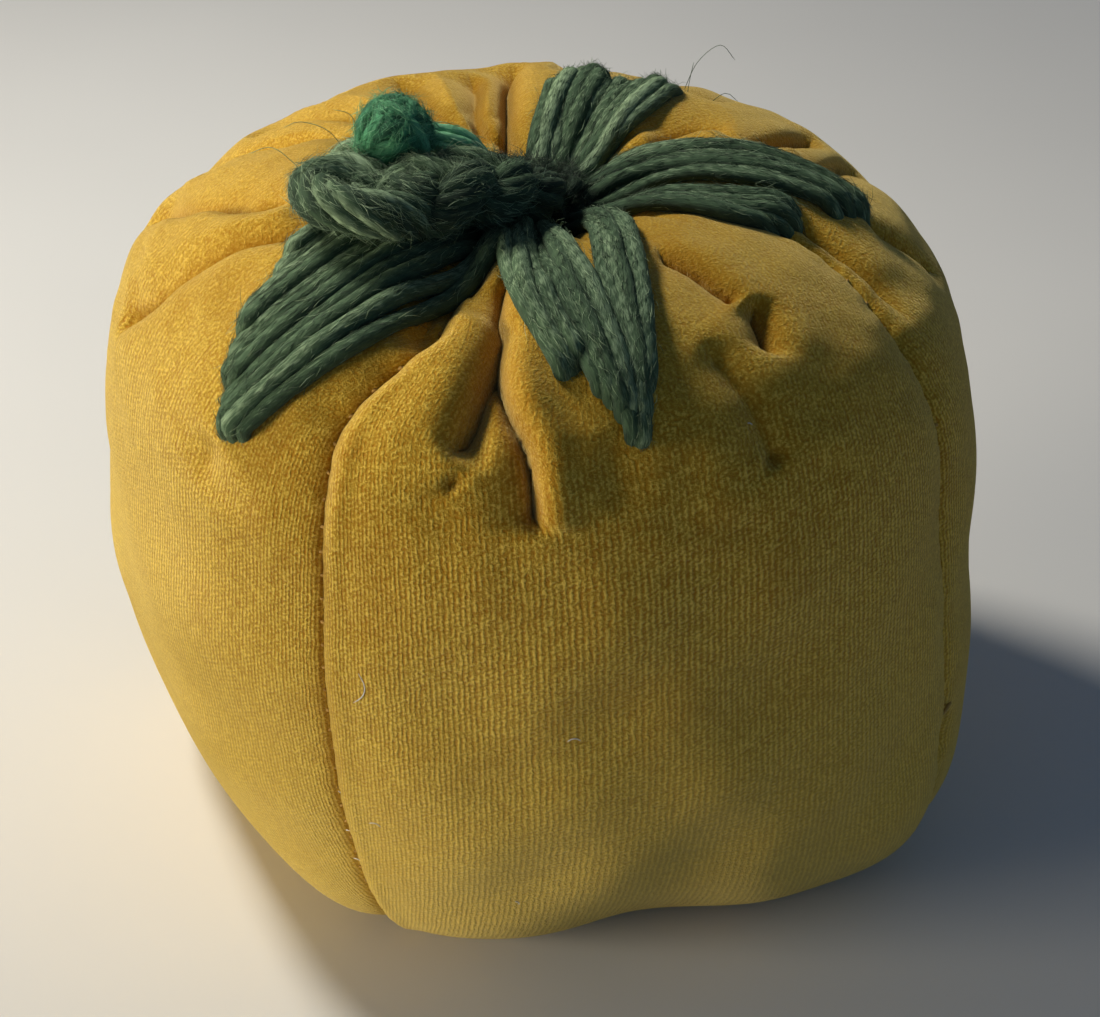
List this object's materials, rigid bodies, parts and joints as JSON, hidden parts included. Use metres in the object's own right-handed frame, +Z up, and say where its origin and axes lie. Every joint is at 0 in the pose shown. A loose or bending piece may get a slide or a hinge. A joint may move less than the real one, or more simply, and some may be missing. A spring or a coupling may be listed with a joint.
{
  "type": "pin cushion",
  "caption": "Stuffed velveteen tomato pin cushion, boxy with a gathered top, a wool-embroidered leaf star and a short wool stem that flops over.",
  "frame": {"origin": "under the middle of the base, on the surface the cushion rests on", "axes": "+Z up, -Y out of the middle of the front side panel, +X to the right as seen from the front"},
  "size_m": [0.086, 0.086, 0.0868],
  "materials": {
    "velveteen": "golden yellow knitted velour with fine vertical ribs and a short nap",
    "base_cloth": "the same golden velour, pressed flat",
    "stuffing": "packed off-white fibre wadding",
    "sewing_thread": "matt golden brown sewing thread",
    "green_wool": "fuzzy dark green plied wool",
    "emerald_wool": "fuzzy emerald green wool"
  },
  "bodies": {
    "cushion": {"stuffing": "stuffing", "front_panel": "velveteen", "right_panel": "velveteen", "back_panel": "velveteen", "left_panel": "velveteen", "base_panel": "base_cloth", "seam_thread_front_right": "sewing_thread", "seam_thread_back_right": "sewing_thread", "seam_thread_back_left": "sewing_thread", "seam_thread_front_left": "sewing_thread", "base_seam_thread": "sewing_thread", "gathering_thread": "sewing_thread", "closing_thread": "sewing_thread", "crown_knot": "green_wool", "leaf_front_left": "green_wool", "leaf_front": "green_wool", "leaf_front_fork": "green_wool", "leaf_right": "green_wool", "leaf_right_fork": "green_wool", "leaf_back_right": "green_wool", "leaf_back_left": "green_wool"},
    "stem": {"stem_root": "green_wool", "stem_strand_1": "green_wool", "stem_strand_2": "green_wool", "stem_strand_3": "green_wool", "stem_bobble": "emerald_wool"}
  },
  "joints": [
    {"name": "stem_flop", "type": "hinge", "parent": "cushion", "child": "stem", "pos_m": [0, 0, 0.074], "axis": [-0.4384, 0.8988, 0], "range_deg": [0, 80]}
  ]
}
